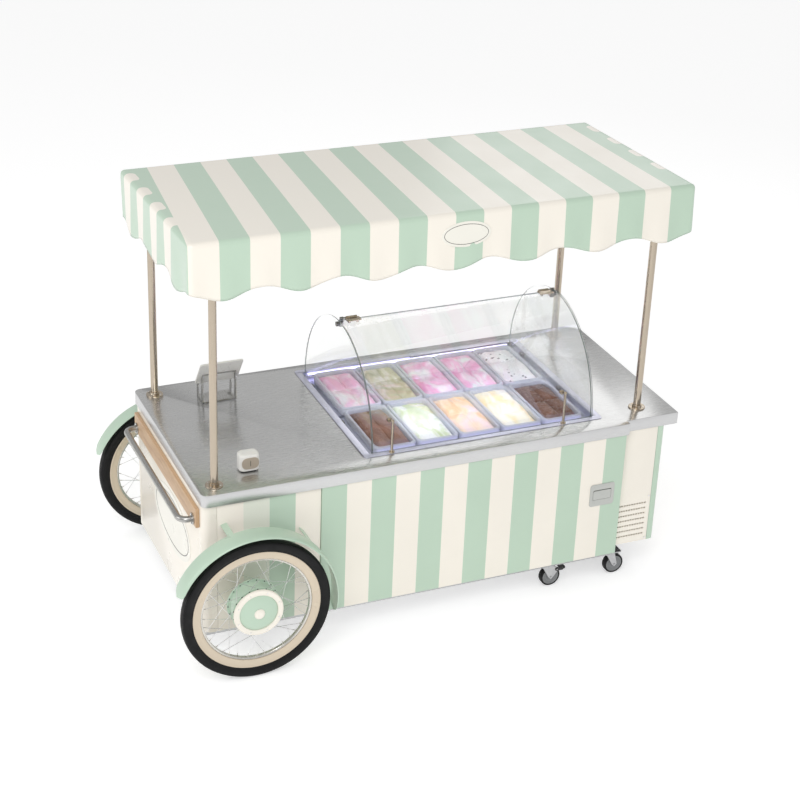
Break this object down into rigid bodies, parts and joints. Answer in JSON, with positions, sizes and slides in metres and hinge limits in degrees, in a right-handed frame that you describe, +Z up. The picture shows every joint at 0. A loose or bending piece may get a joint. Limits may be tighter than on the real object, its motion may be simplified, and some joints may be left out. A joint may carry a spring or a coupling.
{
  "type": "push vending cart",
  "caption": "Ice cream push cart with a striped canopy, glass hooded pan display, steel worktop, large spoked wheels and swivel casters.",
  "frame": {"origin": "on the ground under the middle of the cart's bounding box", "axes": "+X towards the caster end, with the push handle and the large wheels at -X; +Y towards the vendor's side, with the customers at -Y; +Z up"},
  "size_m": [2.4672, 1.454, 1.9651],
  "materials": {
    "tyre": "black moulded rubber",
    "cream_rim": "gloss cream paint on alloy, polished band",
    "green_paint": "gloss sage green paint on alloy",
    "steel": "brushed stainless",
    "zinc": "bright zinc plate",
    "caster_rubber": "black tread on a grey core",
    "black_plastic": "moulded black",
    "frame_alloy": "satin anodised",
    "striped_board": "painted board, green and cream stripes",
    "cream_board": "painted board, cream",
    "champagne": "champagne nickel",
    "awning": "coated awning cloth, green and cream stripes",
    "warm_light": "warm diffuser",
    "plaque": "plain plate with a raised border",
    "pan": "pale pan with ice cream",
    "glass": "clear glass, polished edges",
    "oak": "light oak, satin lacquer",
    "latch_grey": "light grey",
    "white_plastic": "white",
    "compressor": "black enamel"
  },
  "bodies": {
    "cart": {"axle": "steel", "canopy_frame": "frame_alloy", "canopy_light": "warm_light", "canopy_skin": "awning", "card_reader": "white_plastic", "caster_plates": "zinc", "chassis_frame": "frame_alloy", "compressor_unit": "compressor", "corner_posts": "cream_board", "cream_panels": "cream_board", "display_well": "steel", "end_glasses": "glass", "fasteners": "steel", "floor_pan": "steel", "front_left_panel": "striped_board", "front_panel": "striped_board", "glass_clamps": "steel", "handle_bar": "steel", "handle_board": "oak", "latch_plate": "latch_grey", "mudguards": "green_paint", "plaques": "plaque", "poles": "champagne", "rear_panels": "cream_board", "tablet": "white_plastic", "tablet_stand": "steel", "worktop": "steel"},
    "front_wheel": {"front_wheel_tyre": "tyre", "front_wheel_rim": "cream_rim", "front_wheel_spokes": "zinc", "front_wheel_hub": "green_paint"},
    "back_wheel": {"back_wheel_tyre": "tyre", "back_wheel_rim": "cream_rim", "back_wheel_spokes": "zinc", "back_wheel_hub": "green_paint"},
    "fork_1": {"caster_fork_1": "zinc"},
    "caster_1": {"caster_wheel_1": "caster_rubber"},
    "fork_2": {"caster_fork_2": "zinc"},
    "caster_2": {"caster_wheel_2": "caster_rubber"},
    "fork_3": {"caster_fork_3": "zinc"},
    "caster_3": {"caster_wheel_3": "caster_rubber"},
    "fork_4": {"caster_fork_4": "zinc"},
    "caster_4": {"caster_wheel_4": "caster_rubber"},
    "pedal_1": {"brake_pedal_1": "black_plastic"},
    "pedal_3": {"brake_pedal_3": "black_plastic"},
    "pan_01": {"gelato_pan_01": "pan"},
    "pan_02": {"gelato_pan_02": "pan"},
    "pan_03": {"gelato_pan_03": "pan"},
    "pan_04": {"gelato_pan_04": "pan"},
    "pan_05": {"gelato_pan_05": "pan"},
    "pan_06": {"gelato_pan_06": "pan"},
    "pan_07": {"gelato_pan_07": "pan"},
    "pan_08": {"gelato_pan_08": "pan"},
    "pan_09": {"gelato_pan_09": "pan"},
    "pan_10": {"gelato_pan_10": "pan"},
    "hood": {"curved_glass": "glass", "glass_legs": "champagne"},
    "door_left": {"rear_door_left": "cream_board"},
    "door_right": {"rear_door_right": "cream_board"},
    "paddle": {"latch_paddle": "latch_grey"}
  },
  "joints": [
    {"name": "front_wheel_spin", "type": "hinge", "parent": "cart", "child": "front_wheel", "pos_m": [-0.88639, -0.67, 0.334], "axis": [0, 1, 0], "continuous": true},
    {"name": "back_wheel_spin", "type": "hinge", "parent": "cart", "child": "back_wheel", "pos_m": [-0.88639, 0.67, 0.334], "axis": [0, 1, 0], "continuous": true},
    {"name": "caster_1_swivel", "type": "hinge", "parent": "cart", "child": "fork_1", "pos_m": [0.61961, -0.455, 0.12], "axis": [0, 0, 1], "continuous": true},
    {"name": "caster_1_spin", "type": "hinge", "parent": "fork_1", "child": "caster_1", "pos_m": [0.64761, -0.455, 0.05], "axis": [0, 1, 0], "continuous": true},
    {"name": "brake_pedal_1_press", "type": "hinge", "parent": "fork_1", "child": "pedal_1", "pos_m": [0.67461, -0.455, 0.089], "axis": [0, 1, 0], "range_deg": [0, 18]},
    {"name": "caster_2_swivel", "type": "hinge", "parent": "cart", "child": "fork_2", "pos_m": [0.96061, -0.455, 0.12], "axis": [0, 0, 1], "continuous": true},
    {"name": "caster_2_spin", "type": "hinge", "parent": "fork_2", "child": "caster_2", "pos_m": [0.98861, -0.455, 0.05], "axis": [0, 1, 0], "continuous": true},
    {"name": "caster_3_swivel", "type": "hinge", "parent": "cart", "child": "fork_3", "pos_m": [0.61961, 0.455, 0.12], "axis": [0, 0, 1], "continuous": true},
    {"name": "caster_3_spin", "type": "hinge", "parent": "fork_3", "child": "caster_3", "pos_m": [0.64761, 0.455, 0.05], "axis": [0, 1, 0], "continuous": true},
    {"name": "brake_pedal_3_press", "type": "hinge", "parent": "fork_3", "child": "pedal_3", "pos_m": [0.67461, 0.455, 0.089], "axis": [0, 1, 0], "range_deg": [0, 18]},
    {"name": "caster_4_swivel", "type": "hinge", "parent": "cart", "child": "fork_4", "pos_m": [0.96061, 0.455, 0.12], "axis": [0, 0, 1], "continuous": true},
    {"name": "caster_4_spin", "type": "hinge", "parent": "fork_4", "child": "caster_4", "pos_m": [0.98861, 0.455, 0.05], "axis": [0, 1, 0], "continuous": true},
    {"name": "gelato_pan_01_lift", "type": "slide", "parent": "cart", "child": "pan_01", "axis": [0, 0, 1], "range_m": [0, 0.08]},
    {"name": "gelato_pan_02_lift", "type": "slide", "parent": "cart", "child": "pan_02", "axis": [0, 0, 1], "range_m": [0, 0.08]},
    {"name": "gelato_pan_03_lift", "type": "slide", "parent": "cart", "child": "pan_03", "axis": [0, 0, 1], "range_m": [0, 0.08]},
    {"name": "gelato_pan_04_lift", "type": "slide", "parent": "cart", "child": "pan_04", "axis": [0, 0, 1], "range_m": [0, 0.08]},
    {"name": "gelato_pan_05_lift", "type": "slide", "parent": "cart", "child": "pan_05", "axis": [0, 0, 1], "range_m": [0, 0.08]},
    {"name": "gelato_pan_06_lift", "type": "slide", "parent": "cart", "child": "pan_06", "axis": [0, 0, 1], "range_m": [0, 0.08]},
    {"name": "gelato_pan_07_lift", "type": "slide", "parent": "cart", "child": "pan_07", "axis": [0, 0, 1], "range_m": [0, 0.08]},
    {"name": "gelato_pan_08_lift", "type": "slide", "parent": "cart", "child": "pan_08", "axis": [0, 0, 1], "range_m": [0, 0.08]},
    {"name": "gelato_pan_09_lift", "type": "slide", "parent": "cart", "child": "pan_09", "axis": [0, 0, 1], "range_m": [0, 0.08]},
    {"name": "gelato_pan_10_lift", "type": "slide", "parent": "cart", "child": "pan_10", "axis": [0, 0, 1], "range_m": [0, 0.08]},
    {"name": "glass_lift", "type": "hinge", "parent": "cart", "child": "hood", "pos_m": [0.27961, 0.025, 1.3035], "axis": [-1, 0, 0], "range_deg": [0, 70]},
    {"name": "rear_door_left_swing", "type": "hinge", "parent": "cart", "child": "door_left", "pos_m": [-0.42564, 0.525, 0.47], "axis": [0, 0, 1], "range_deg": [0, 100]},
    {"name": "rear_door_right_swing", "type": "hinge", "parent": "cart", "child": "door_right", "pos_m": [0.67736, 0.525, 0.47], "axis": [0, 0, -1], "range_deg": [0, 100]},
    {"name": "latch_paddle_pull", "type": "hinge", "parent": "cart", "child": "paddle", "pos_m": [0.85061, -0.5205, 0.505], "axis": [-1, 0, 0], "range_deg": [0, 35], "stiffness_Nm_per_rad": 0.6}
  ]
}
